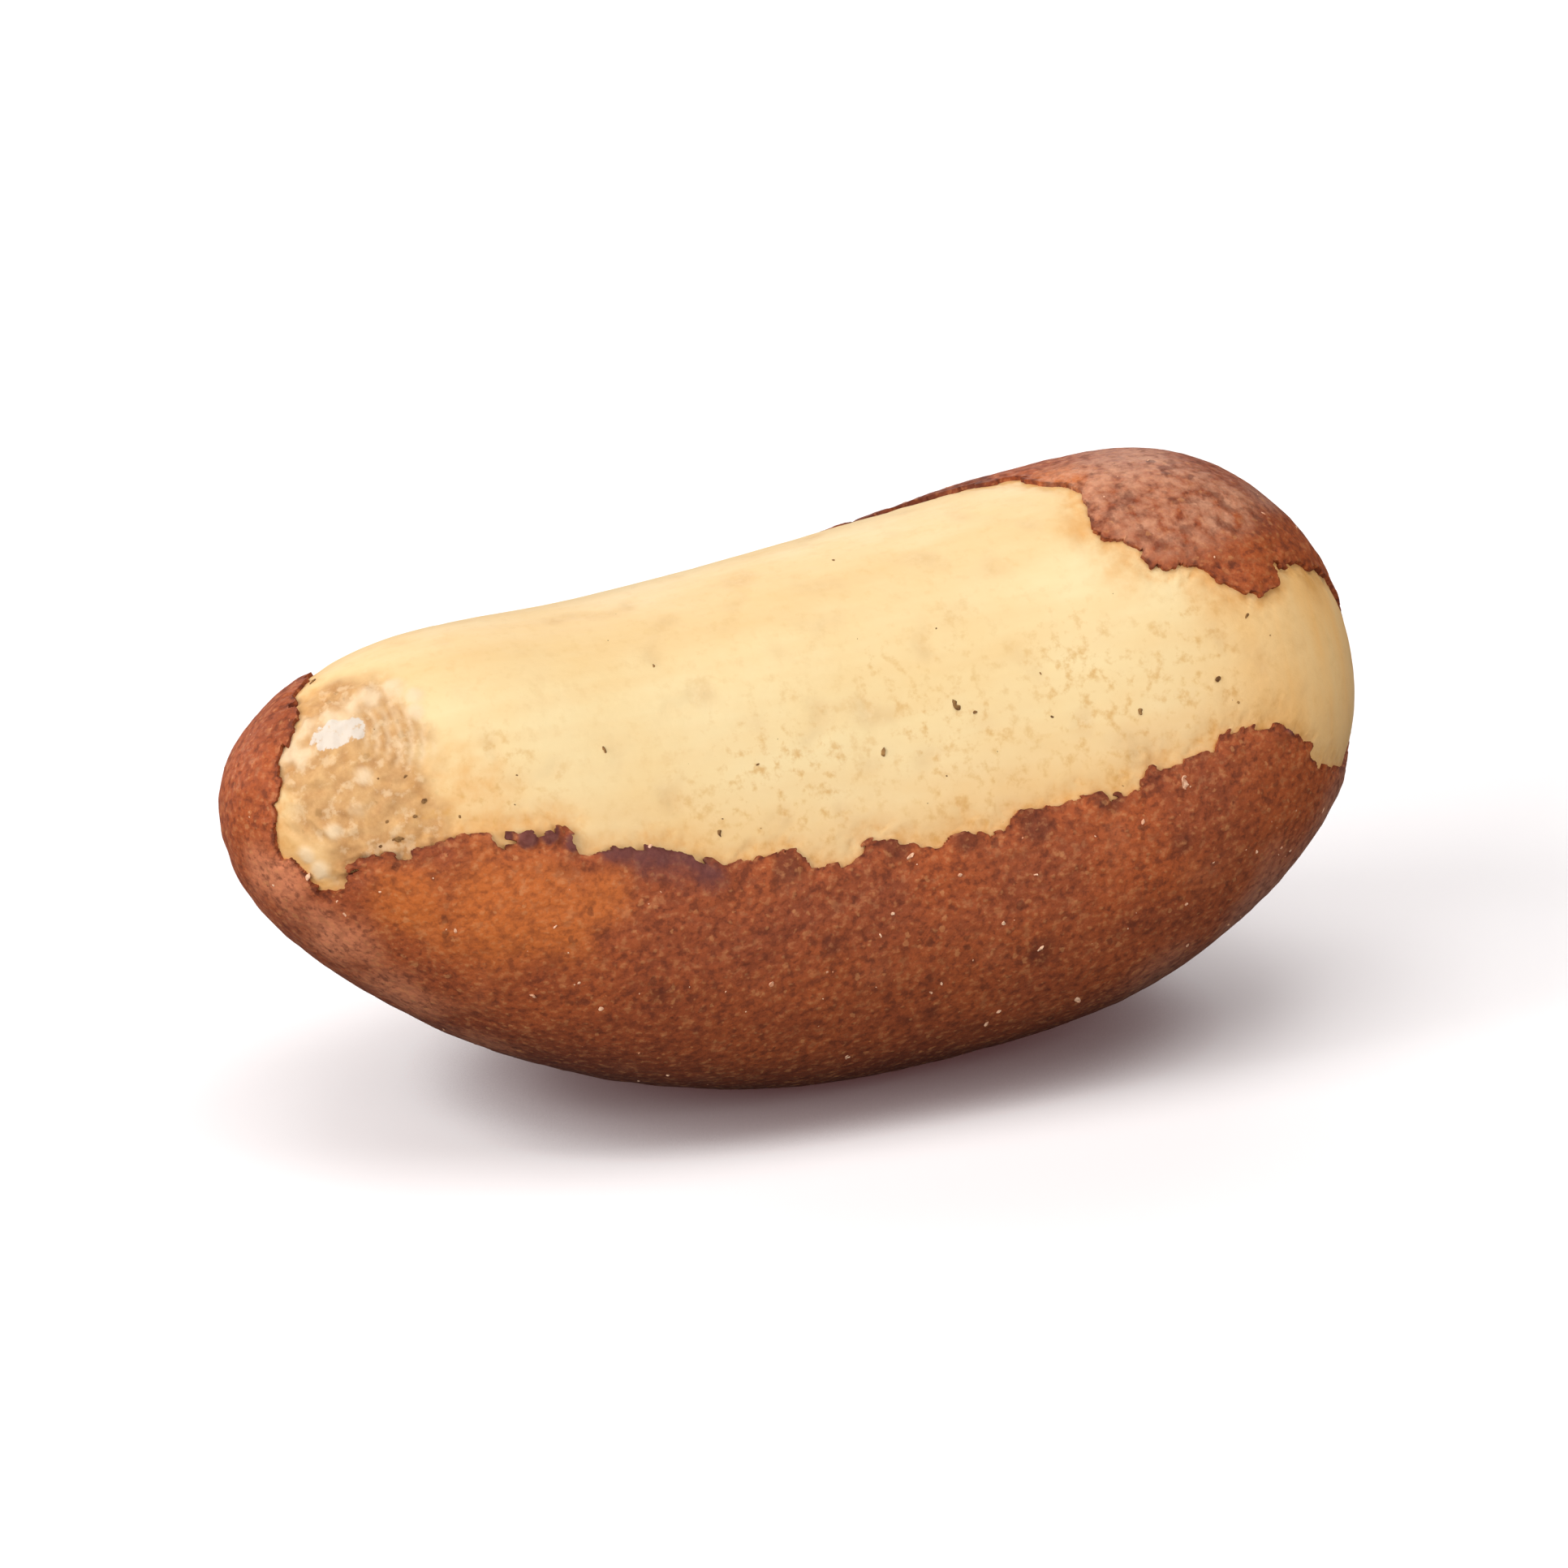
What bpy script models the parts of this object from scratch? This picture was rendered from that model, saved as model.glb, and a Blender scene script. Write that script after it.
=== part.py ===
"""A shelled brazil nut: one plump kernel, bent like a bean and softly three-sided, at its real size.

The nut lies on its rounded belly with its blunt ridge up. X runs from the slim end to the blunt end, Z is up,
and the origin is on the table, below the middle of the nut. It is a single piece as it grew: the thin brown
skin is part of the kernel and stands a little proud of the bare cream places where it has torn away.
"""
import math

import bmesh
import bpy
import numpy as np
from mathutils import Vector, noise

# Lengths are in millimetres and angles in degrees; METRE turns a length into metres.
METRE = 0.001

# The body, as (place along the nut, value) from the slim end to the blunt end
LENGTH = 37.0
CORE_HEIGHT = [(-18.5, 11.0), (-14, 9.75), (-9, 8.4), (-3, 7.5), (3, 7.75), (9, 8.6), (14, 9.9), (18.5, 10.6)]
CORE_SIDE = [(-18.5, -0.9), (-9, -0.2), (0, 0.3), (9, 0.2), (18.5, -0.6)]
HALF_HEIGHT = [(-18.5, 7.1), (-12, 7.3), (-6, 7.4), (0, 7.85), (6, 8.0), (12, 8.15), (18.5, 7.9)]
HALF_WIDTH = [(-18.5, 6.6), (-10, 7.6), (0, 8.2), (8, 8.5), (18.5, 8.2)]
SLIM_END_POWER = 2.5           # 2 closes an end as an ellipse does, more closes it blunter
BLUNT_END_POWER = 4.3
THREE_SIDED = 0.075            # how far the three ridges stand out, as a share of the radius
RIDGE_ANGLE = 91.0             # direction of the upper ridge, from the back (0) over the top (90)
SWELL_HEIGHT = 0.1             # broad, low unevenness of a grown thing
SWELL_WIDTH = 8.0
RESTING_DEPTH = 0.16           # the belly is pressed flat by this much where it rests

# The skin
SKIN_THICKNESS = 0.15
EDGE_WIDTH = 0.6               # the step at a torn edge is as wide as a face
TEAR_SIZE = 0.35               # how far a torn edge wanders from its outline
TEAR_LENGTH = 1.6

# Outlines of the bare places, as (place along the nut, angle round it); 180 is the front, 270 the belly
BARE_FRONT = [
    (-14.8, 66), (-16.3, 88), (-17.6, 134), (-17.8, 182), (-17.4, 196), (-16.4, 184), (-13.9, 167), (-11, 159),
    (-7.7, 161), (-5.1, 166), (-1, 167), (4.5, 168), (12.3, 167), (14.1, 177), (16.6, 202), (17.7, 212),
    (18.3, 190), (18.35, 150), (17.7, 124), (15.7, 127), (13.6, 135), (12, 125), (10, 114), (9, 91), (7, 83.5),
    (4, 69), (-1, 56), (-6, 53), (-12, 50),
]
BARE_BACK = [(3.5, -42), (7, -58), (11.5, -52), (13, -36), (9.5, -22), (5, -26)]
BARE_CHIP = [(-11.5, 4), (-9, -3), (-7, 6), (-8.6, 17), (-11, 14)]

# The faces
FACES_ROUND_QUARTER = 20
FACES_ALONG = 51
END_SHARE = 0.14               # share of the way over the nut that each end's cap takes

FLESH_COLOUR = (0.905, 0.686, 0.386)
SKIN_COLOUR = (0.231, 0.071, 0.031)


def through(stations, x):
    """Smooth curve through the stations: a natural cubic spline, read at x."""
    places, values = np.array(stations, float).T
    step = np.diff(places)
    count = len(places)
    matrix = np.eye(count)
    bend = np.zeros(count)
    for i in range(1, count - 1):
        matrix[i, i - 1:i + 2] = step[i - 1], 2 * (step[i - 1] + step[i]), step[i]
        bend[i] = 6 * ((values[i + 1] - values[i]) / step[i] - (values[i] - values[i - 1]) / step[i - 1])
    curve = np.linalg.solve(matrix, bend)
    i = np.clip(np.searchsorted(places, x) - 1, 0, count - 2)
    after = places[i + 1] - x
    before = x - places[i]
    cubic = (curve[i] * after**3 + curve[i + 1] * before**3) / (6 * step[i])
    left = (values[i] / step[i] - curve[i] * step[i] / 6) * after
    right = (values[i + 1] / step[i] - curve[i + 1] * step[i] / 6) * before
    return cubic + left + right


def closing(share):
    """How far the section has opened at a share (-1 to 1) of the half length: 0 at the ends."""
    power = np.where(share < 0, SLIM_END_POWER, BLUNT_END_POWER)
    return np.sqrt(np.clip(1 - np.abs(share)**power, 0, 1))


def surface(along, around):
    """Points of the nut: along is 0 at the slim tip and pi at the blunt tip, around is in radians."""
    share = -np.cos(along)
    x = share * LENGTH / 2
    ridges = 1 + THREE_SIDED * (1 - share**4) * np.cos(3 * (around - math.radians(RIDGE_ANGLE)))
    radius = closing(share) * ridges
    y = through(CORE_SIDE, x) + radius * through(HALF_WIDTH, x) * np.cos(around)
    z = through(CORE_HEIGHT, x) + radius * through(HALF_HEIGHT, x) * np.sin(around)
    return np.stack([x, y, z], -1)


def outward(along, around):
    """Unit normals of the surface, from its two slopes."""
    small = 1e-4
    inside = np.clip(along, 10 * small, math.pi - 10 * small)
    lengthwise = surface(inside + small, around) - surface(inside - small, around)
    crosswise = surface(inside, around + small) - surface(inside, around - small)
    normal = np.cross(crosswise, lengthwise)
    return normal / np.linalg.norm(normal, axis=-1, keepdims=True)


def even_along(share):
    """Turns a share of the way over the nut, tip to tip, into the angle that surface() takes."""
    angles = np.linspace(0, math.pi, 721)
    middle_radius = HALF_HEIGHT[3][1]
    profile = np.stack([-np.cos(angles) * LENGTH / 2, closing(-np.cos(angles)) * middle_radius])
    way = np.concatenate([[0], np.cumsum(np.linalg.norm(np.diff(profile), axis=0))])
    return np.interp(share * way[-1], way, angles)


def from_box(corners):
    """Wraps the box (-1 to 1 each way) round the nut: its four long sides run along it, two close the ends."""
    a, b, c = corners.T
    ring = np.maximum(np.abs(b), np.abs(c))
    share = END_SHARE + (1 - 2 * END_SHARE) * (a + 1) / 2
    share = np.where(a < -0.9999, END_SHARE * ring, share)
    share = np.where(a > 0.9999, 1 - END_SHARE * ring, share)
    upright = np.abs(c) > np.abs(b)
    slope = np.divide(np.where(upright, b, c), np.where(upright, c, b), out=np.zeros_like(b), where=ring > 0)
    around = np.where(upright, math.pi / 2 - slope * math.pi / 4, slope * math.pi / 4)
    around = around + np.where(np.where(upright, c, b) < 0, math.pi, 0)
    return even_along(share), around


def smooth_outline(outline, pieces=12):
    """Closed smooth line through an outline's points, as (along, around) in radians (Catmull-Rom)."""
    places, angles = np.array(outline, float).T
    points = np.stack([np.arccos(-places / (LENGTH / 2)), np.radians(angles)], -1)
    t = (np.arange(pieces) / pieces)[:, None, None]
    p0, p1, p2, p3 = (np.roll(points, shift, 0) for shift in (1, 0, -1, -2))
    bend = p0 - 2.5 * p1 + 2 * p2 - p3 / 2
    twist = 1.5 * (p1 - p2) + (p3 - p0) / 2
    line = p1 + t * (p2 - p0) / 2 + t**2 * bend + t**3 * twist
    return line.transpose(1, 0, 2).reshape(-1, 2)


def skin_distance(points, along, around, outline):
    """Distance in millimetres from a bare place's outline: above 0 on the skin, below 0 on the bare flesh."""
    line = smooth_outline(outline)
    ends = np.roll(line, -1, 0)
    middle = line[:, 1].mean()
    turn = middle + (around - middle + math.pi) % (2 * math.pi) - math.pi
    start, stop = surface(*line.T), surface(*ends.T)
    nearest = np.full(len(points), np.inf)
    inside = np.zeros(len(points), bool)
    for (a0, t0), (a1, t1), here, there in zip(line, ends, start, stop):
        step = there - here
        share = np.clip((points - here) @ step / (step @ step), 0, 1)
        nearest = np.minimum(nearest, np.linalg.norm(points - here - share[:, None] * step, axis=1))
        crosses = (t0 > turn) != (t1 > turn)
        if t0 != t1:
            inside ^= crosses & (along < a0 + (a1 - a0) * (turn - t0) / (t1 - t0))
    return np.where(inside, -nearest, nearest)


def wander(points, width):
    """Smooth unevenness between -1 and 1, as wide as width."""
    return np.array([noise.noise(Vector(point) / width) for point in points])


def principled(name, colour, roughness):
    material = bpy.data.materials.new(name)
    material.use_nodes = True
    shader = material.node_tree.nodes["Principled BSDF"]
    shader.inputs["Base Color"].default_value = (*colour, 1)
    shader.inputs["Roughness"].default_value = roughness
    material.diffuse_color = (*colour, 1)
    return material


for old in list(bpy.data.objects):
    bpy.data.objects.remove(old, do_unlink=True)

# A box with its long sides in even faces, wrapped round the nut
mesh_builder = bmesh.new()
bmesh.ops.create_cube(mesh_builder, size=2)
long_edges = [e for e in mesh_builder.edges if abs(e.verts[0].co.x - e.verts[1].co.x) > 1]
short_edges = [e for e in mesh_builder.edges if e not in long_edges]
bmesh.ops.subdivide_edges(mesh_builder, edges=short_edges, cuts=FACES_ROUND_QUARTER - 1, use_grid_fill=True)
long_edges = [e for e in mesh_builder.edges if abs(e.verts[0].co.x - e.verts[1].co.x) > 1]
bmesh.ops.subdivide_edges(mesh_builder, edges=long_edges, cuts=FACES_ALONG - 1, use_grid_fill=True)
along, around = from_box(np.array([v.co for v in mesh_builder.verts]))
points = surface(along, around)

# The skin is everywhere but on the bare places, with a torn edge
tear = TEAR_SIZE * wander(points, TEAR_LENGTH)
on_skin = np.full(len(points), np.inf)
for outline in (BARE_FRONT, BARE_BACK, BARE_CHIP):
    on_skin = np.minimum(on_skin, skin_distance(points, along, around, outline) + tear)
step_up = np.clip(on_skin / EDGE_WIDTH + 0.5, 0, 1)
relief = SKIN_THICKNESS * step_up**2 * (3 - 2 * step_up) + SWELL_HEIGHT * wander(points, SWELL_WIDTH)
points = points + outward(along, around) * relief[:, None]

# The small flat spot that it rests on, and the origin below the middle
table = points[:, 2].min() + RESTING_DEPTH
points[:, 2] = np.maximum(points[:, 2], table)
lowest, highest = points.min(0), points.max(0)
origin = np.array([*(lowest + highest)[:2] / 2, table])
for vertex, point in zip(mesh_builder.verts, points - origin):
    vertex.co = point * METRE
for face in mesh_builder.faces:
    face.smooth = True
    face.material_index = int(np.mean([on_skin[v.index] for v in face.verts]) > 0)

kernel_mesh = bpy.data.meshes.new("kernel")
mesh_builder.to_mesh(kernel_mesh)
mesh_builder.free()
kernel_mesh.materials.append(principled("cream_flesh", FLESH_COLOUR, 0.45))
kernel_mesh.materials.append(principled("brown_skin", SKIN_COLOUR, 0.6))
kernel = bpy.data.objects.new("kernel", kernel_mesh)
nut_parts = bpy.data.collections.new("shelled_brazil_nut")
bpy.context.scene.collection.children.link(nut_parts)
nut_parts.objects.link(kernel)
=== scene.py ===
"""The looks of a shelled brazil nut lying on its belly: cream flesh where its brown skin has torn away."""
import math

import bmesh
import bpy
import numpy as np
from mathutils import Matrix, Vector, noise


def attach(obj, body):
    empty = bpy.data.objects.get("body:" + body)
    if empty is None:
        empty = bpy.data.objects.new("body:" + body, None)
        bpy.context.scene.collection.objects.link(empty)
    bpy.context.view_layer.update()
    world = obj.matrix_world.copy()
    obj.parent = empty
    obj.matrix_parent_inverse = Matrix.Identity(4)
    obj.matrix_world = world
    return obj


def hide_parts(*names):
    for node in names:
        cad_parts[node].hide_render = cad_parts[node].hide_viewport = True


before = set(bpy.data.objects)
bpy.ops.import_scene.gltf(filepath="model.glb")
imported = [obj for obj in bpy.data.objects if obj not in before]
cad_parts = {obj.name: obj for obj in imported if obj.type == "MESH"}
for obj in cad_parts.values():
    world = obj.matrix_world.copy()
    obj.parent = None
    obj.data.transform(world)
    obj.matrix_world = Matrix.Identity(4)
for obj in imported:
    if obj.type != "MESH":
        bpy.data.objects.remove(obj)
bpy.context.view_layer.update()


# The flesh
# One plump oily kernel, bent like a bean and softly three-sided. It grew in a woody pod between neighbours,
# which gave it its flat sides, and it lies on its rounded belly. Lengths are in millimetres, angles in
# degrees.

METRE = 0.001
LENGTH = 37.0
CORE_HEIGHT = [(-18.5, 11.0), (-14, 9.75), (-9, 8.4), (-3, 7.5), (3, 7.75), (9, 8.6), (14, 9.9), (18.5, 10.6)]
CORE_SIDE = [(-18.5, -0.9), (-9, -0.2), (0, 0.3), (9, 0.2), (18.5, -0.6)]
HALF_HEIGHT = [(-18.5, 7.1), (-12, 7.3), (-6, 7.4), (0, 7.85), (6, 8.0), (12, 8.15), (18.5, 7.9)]
HALF_WIDTH = [(-18.5, 6.6), (-10, 7.6), (0, 8.2), (8, 8.5), (18.5, 8.2)]
SLIM_END_POWER = 2.5                         # 2 closes an end as an ellipse does, more closes it blunter
BLUNT_END_POWER = 4.3
THREE_SIDED = 0.075                          # how far the three ridges stand out, as a share of the radius
RIDGE_ANGLE = 91.0                           # direction of the upper ridge
SWELL_HEIGHT = 0.1
SWELL_WIDTH = 8.0
RESTING_DEPTH = 0.16                         # the belly is flat where it rests, by this much
RIPPLE_HEIGHT = 0.035                        # smaller unevenness on top of the swells
RIPPLE_WIDTH = 2.6
SKIN_THICKNESS = 0.15
FACES_ALONG_SHARE = 2.55                     # faces along the nut for each one across a quarter of it
FLESH_FACES_ROUND_QUARTER = 48
FLESH_FINER = [(-99, 0.4), (-0.5, 0.15)]     # faces this far from the torn edge are halved, in two rounds
END_SHARE = 0.14                             # share of the way over the nut that each end's cap takes


def through(stations, x):
    """Smooth curve through the stations: a natural cubic spline, read at x."""
    places, values = np.array(stations, float).T
    step = np.diff(places)
    count = len(places)
    matrix = np.eye(count)
    bend = np.zeros(count)
    for i in range(1, count - 1):
        matrix[i, i - 1:i + 2] = step[i - 1], 2 * (step[i - 1] + step[i]), step[i]
        bend[i] = 6 * ((values[i + 1] - values[i]) / step[i] - (values[i] - values[i - 1]) / step[i - 1])
    curve = np.linalg.solve(matrix, bend)
    i = np.clip(np.searchsorted(places, x) - 1, 0, count - 2)
    after = places[i + 1] - x
    before = x - places[i]
    cubic = (curve[i] * after**3 + curve[i + 1] * before**3) / (6 * step[i])
    left = (values[i] / step[i] - curve[i] * step[i] / 6) * after
    right = (values[i + 1] / step[i] - curve[i + 1] * step[i] / 6) * before
    return cubic + left + right


def closing(share):
    """How far the section has opened at a share (-1 to 1) of the half length: 0 at the ends."""
    power = np.where(share < 0, SLIM_END_POWER, BLUNT_END_POWER)
    return np.sqrt(np.clip(1 - np.abs(share)**power, 0, 1))


def surface(along, around):
    """Points of the nut: along is 0 at the slim tip and pi at the blunt tip, around is in radians."""
    share = -np.cos(along)
    x = share * LENGTH / 2
    ridges = 1 + THREE_SIDED * (1 - share**4) * np.cos(3 * (around - math.radians(RIDGE_ANGLE)))
    radius = closing(share) * ridges
    y = through(CORE_SIDE, x) + radius * through(HALF_WIDTH, x) * np.cos(around)
    z = through(CORE_HEIGHT, x) + radius * through(HALF_HEIGHT, x) * np.sin(around)
    return np.stack([x, y, z], -1)


def outward(along, around):
    """Unit normals of the surface, from its two slopes."""
    small = 1e-4
    inside = np.clip(along, 10 * small, math.pi - 10 * small)
    lengthwise = surface(inside + small, around) - surface(inside - small, around)
    crosswise = surface(inside, around + small) - surface(inside, around - small)
    normal = np.cross(crosswise, lengthwise)
    return normal / np.linalg.norm(normal, axis=-1, keepdims=True)


def even_along(share):
    """Turns a share of the way over the nut, tip to tip, into the angle that surface() takes."""
    angles = np.linspace(0, math.pi, 721)
    middle_radius = HALF_HEIGHT[3][1]
    profile = np.stack([-np.cos(angles) * LENGTH / 2, closing(-np.cos(angles)) * middle_radius])
    way = np.concatenate([[0], np.cumsum(np.linalg.norm(np.diff(profile), axis=0))])
    return np.interp(share * way[-1], way, angles)


def box_faces(faces_round_quarter):
    """A long box in even squares: its points, -1 to 1 each way, and the squares' corners."""
    builder = bmesh.new()
    bmesh.ops.create_cube(builder, size=2)
    crossing = [e for e in builder.edges if abs(e.verts[0].co.x - e.verts[1].co.x) < 1]
    bmesh.ops.subdivide_edges(builder, edges=crossing, cuts=faces_round_quarter - 1, use_grid_fill=True)
    lengthwise = [e for e in builder.edges if abs(e.verts[0].co.x - e.verts[1].co.x) > 1]
    faces_along = round(faces_round_quarter * FACES_ALONG_SHARE)
    bmesh.ops.subdivide_edges(builder, edges=lengthwise, cuts=faces_along - 1, use_grid_fill=True)
    corners = np.array([v.co for v in builder.verts])
    squares = np.array([[v.index for v in face.verts] for face in builder.faces])
    builder.free()
    return corners, squares


def wrapped(corners):
    """Wraps the box round the nut, its long sides along it, two closing the ends. Gives along and around."""
    a, b, c = corners.T
    ring = np.maximum(np.abs(b), np.abs(c))
    share = END_SHARE + (1 - 2 * END_SHARE) * (a + 1) / 2
    share = np.where(a < -0.9999, END_SHARE * ring, share)
    share = np.where(a > 0.9999, 1 - END_SHARE * ring, share)
    upright = np.abs(c) > np.abs(b)
    slope = np.divide(np.where(upright, b, c), np.where(upright, c, b), out=np.zeros_like(b), where=ring > 0)
    around = np.where(upright, math.pi / 2 - slope * math.pi / 4, slope * math.pi / 4)
    around = around + np.where(np.where(upright, c, b) < 0, math.pi, 0)
    return even_along(share), around


def cut_across(squares, points):
    """Cuts every square in two triangles, by the diagonal that leaves the larger smallest triangle."""
    a, b, c, d = squares.T

    def area(i, j, k):
        return np.linalg.norm(np.cross(points[j] - points[i], points[k] - points[i]), axis=1)

    by_ac = np.minimum(area(a, b, c), area(a, c, d)) > np.minimum(area(b, c, d), area(b, d, a))
    first = np.where(by_ac, [a, b, c], [b, c, d])
    second = np.where(by_ac, [a, c, d], [b, d, a])
    return np.concatenate([first.T, second.T])


def halved(corners, triangles, wanted):
    """Splits the triangles whose three corners are wanted in four, and those beside them in two to match."""
    count = len(corners)
    sides = np.stack([triangles, np.roll(triangles, -1, axis=1)], -1)
    split = wanted[sides].all(-1)
    keys = sides.min(-1) * count + sides.max(-1)
    cut, place = np.unique(keys[split], return_inverse=True)
    middles = np.full(triangles.shape, -1)
    middles[split] = count + place
    corners = np.concatenate([corners, (corners[cut // count] + corners[cut % count]) / 2])
    whole = triangles[split.sum(1) == 0]
    four = split.sum(1) == 3
    (a, b, c), (ab, bc, ca) = triangles[four].T, middles[four].T
    quarters = [np.stack(corner, -1) for corner in ((a, ab, ca), (ab, b, bc), (ca, bc, c), (ab, bc, ca))]
    halves = []
    for side in range(3):
        two = (split.sum(1) == 1) & split[:, side]
        a, b, c = np.roll(triangles[two], -side, axis=1).T
        middle = middles[two, side]
        halves += [np.stack([a, middle, c], -1), np.stack([middle, b, c], -1)]
    return corners, np.concatenate([whole] + quarters + halves)


def wander(points, width, stretch=1.0, shift=0.0):
    """Smooth unevenness between -1 and 1, as wide as width and stretch times as long."""
    scale = np.array([1 / (width * stretch), 1 / width, 1 / width])
    return np.array([noise.noise(Vector(point)) for point in points * scale + shift])


def cells(points, width, shift=0.0):
    """Distance to the nearest of scattered seeds, 0 to 1: rounded grains with sharp valleys between them."""
    return np.array([noise.voronoi(Vector(point))[0][0] for point in points / width + shift])


def broken(points, width, shift=0.0):
    """One height from -1 to 1 for all of each crumb, as wide as width, as where something brittle breaks."""
    seeds = [noise.voronoi(Vector(point))[1][0] for point in points / width + shift]
    return np.array([noise.cell(7.3 * seed) for seed in seeds])


def near(points, places):
    """1 at the given places (along in mm, angle, reach in mm) and 0 beyond their reach."""
    covered = np.zeros(len(points))
    for x, angle, reach in places:
        centre = surface(np.arccos(-x / (LENGTH / 2)), np.radians(angle))
        covered = np.maximum(covered, 1 - np.linalg.norm(points - centre, axis=1) / reach)
    return covered


def smooth_step(values, low, high):
    share = np.clip((values - low) / (high - low), 0, 1)
    return share**2 * (3 - 2 * share)


def body_relief(points):
    """The unevenness that flesh and skin share."""
    return SWELL_HEIGHT * wander(points, SWELL_WIDTH) + RIPPLE_HEIGHT * wander(points, RIPPLE_WIDTH, 1.6, 7.3)


# Where the skin has torn away
# The skin is grown onto the flesh and comes off in torn patches when the nut is cracked out of its shell: one
# long face is bare, with a ragged lower edge, and two smaller places on the back are. Angles go from the back
# (0) over the upper ridge (90) and the front (180) to the belly (270).

BARE_FRONT = [
    (-14.8, 66), (-15.6, 77), (-16.4, 89), (-17.1, 110), (-17.6, 134), (-17.8, 158), (-17.8, 184),
    (-17.4, 197), (-16.7, 196), (-16.4, 184), (-15.8, 176), (-15.1, 172), (-13.9, 167), (-13.4, 163),
    (-12.6, 161), (-11.8, 162), (-10.9, 159), (-10.2, 157), (-9.7, 160), (-8.9, 162), (-7.7, 161),
    (-6.5, 162), (-5.1, 166),
    (-3.7, 165), (-2.9, 164), (-2.3, 167), (-1, 167), (-0.4, 165), (0.8, 167), (2, 169), (2.5, 167),
    (3.5, 169), (4.5, 167), (5.7, 168), (6.4, 167), (7.3, 168), (8.7, 169), (9.1, 166), (10.3, 168),
    (11.3, 167), (12.3, 167), (13, 168), (13.5, 170), (14.1, 177), (15.2, 188), (16.6, 202), (17.4, 213),
    (17.9, 206), (18.25, 190), (18.35, 170), (18.3, 148), (17.9, 128), (17.2, 122), (16.3, 127), (15.7, 126),
    (15.2, 128), (14.7, 130), (14.3, 134), (13.6, 135), (12.6, 130), (12, 125), (11.4, 124), (10.8, 122),
    (10, 115), (9.35, 110), (9.45, 104.5), (9.75, 98.5), (9.2, 89.5), (8.6, 83.5), (7.6, 78), (6.2, 74),
    (4.5, 70), (2, 60.5), (-1, 56), (-4, 54), (-8, 52), (-11, 50), (-13.5, 50), (-15, 57),
]
BARE_BACK = [(3.5, -42), (5, -50), (7, -58), (9.5, -54), (11.5, -52), (13, -36), (11.5, -27), (9.5, -22),
             (7.5, -27), (5, -26)]
BARE_CHIP = [(-11.5, 4), (-9, -3), (-7, 6), (-8.6, 17), (-11, 14)]
TEAR_REACH = 1.5                             # the raggedness is added this near to an outline
WAVES = (1.3, 0.14)                          # width and height of the edge's smooth waves
CRUMBLED = [(0.95, 0.2), (0.45, 0.13), (0.22, 0.06)]     # width and height of its broken corners


def outline_distance(points, along, around, outline, pieces=8):
    """Distance in millimetres from a bare place's smooth outline: above 0 outside it, below 0 inside."""
    places, angles = np.array(outline, float).T
    corners = np.stack([np.arccos(-places / (LENGTH / 2)), np.radians(angles)], -1)
    t = (np.arange(pieces) / pieces)[:, None, None]
    p0, p1, p2, p3 = (np.roll(corners, shift, 0) for shift in (1, 0, -1, -2))
    bend = p0 - 2.5 * p1 + 2 * p2 - p3 / 2
    twist = 1.5 * (p1 - p2) + (p3 - p0) / 2
    line = p1 + t * (p2 - p0) / 2 + t**2 * bend + t**3 * twist
    line = line.transpose(1, 0, 2).reshape(-1, 2)
    ends = np.roll(line, -1, 0)
    middle = line[:, 1].mean()
    turn = middle + (around - middle + math.pi) % (2 * math.pi) - math.pi
    nearest = np.full(len(points), np.inf)
    inside = np.zeros(len(points), bool)
    for (a0, t0), (a1, t1), here, there in zip(line, ends, surface(*line.T), surface(*ends.T)):
        step = there - here
        share = np.clip((points - here) @ step / (step @ step), 0, 1)
        nearest = np.minimum(nearest, ((points - here - share[:, None] * step)**2).sum(1))
        if t0 != t1:
            inside ^= ((t0 > turn) != (t1 > turn)) & (along < a0 + (a1 - a0) * (turn - t0) / (t1 - t0))
    return np.where(inside, -1, 1) * np.sqrt(nearest)


def skin_distance(points, along, around):
    """Distance from the nearest torn edge, above 0 on the skin: the outlines, with brittle corners."""
    distance = np.full(len(points), np.inf)
    for outline in (BARE_FRONT, BARE_BACK, BARE_CHIP):
        distance = np.minimum(distance, outline_distance(points, along, around, outline))
    rim = np.abs(distance) < TEAR_REACH
    edge_points = points[rim]
    distance[rim] += WAVES[1] * wander(edge_points, WAVES[0], 1.0, 3.1)
    for width, height in CRUMBLED:
        distance[rim] += height * broken(edge_points, width)
    return distance


def faces_on_nut(faces_round_quarter, finer):
    """(along, around) of points on the nut, their triangles, and their distance from the torn edge."""
    corners, squares = box_faces(faces_round_quarter)
    triangles = cut_across(squares, surface(*wrapped(corners)))
    for low, high in finer:
        along, around = wrapped(corners)
        distance = skin_distance(surface(along, around), along, around)
        corners, triangles = halved(corners, triangles, (distance > low) & (distance < high))
    along, around = wrapped(corners)
    return along, around, triangles, skin_distance(surface(along, around), along, around)


def set_attributes(mesh, **values):
    for name, numbers in values.items():
        attribute = mesh.attributes.new(name, "FLOAT", "POINT")
        attribute.data.foreach_set("value", numbers.astype(np.float32))


def make_piece(name, points, faces):
    """An object from points in millimetres, in the frame's place: the nut's lowest point is at the table."""
    mesh = bpy.data.meshes.new(name)
    mesh.from_pydata(((points - ORIGIN) * METRE).tolist(), [], faces.tolist())
    mesh.shade_smooth()
    piece = bpy.data.objects.new(name, mesh)
    bpy.context.scene.collection.objects.link(piece)
    return piece


along, around, triangles, on_skin = faces_on_nut(FLESH_FACES_ROUND_QUARTER, FLESH_FINER)
body = surface(along, around)
normals = outward(along, around)
relief = body_relief(body)
with_skin = body + normals * (relief + SKIN_THICKNESS)[:, None]
ORIGIN = np.array([*(with_skin.min(0) + with_skin.max(0))[:2] / 2, with_skin[:, 2].min() + RESTING_DEPTH])

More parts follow.
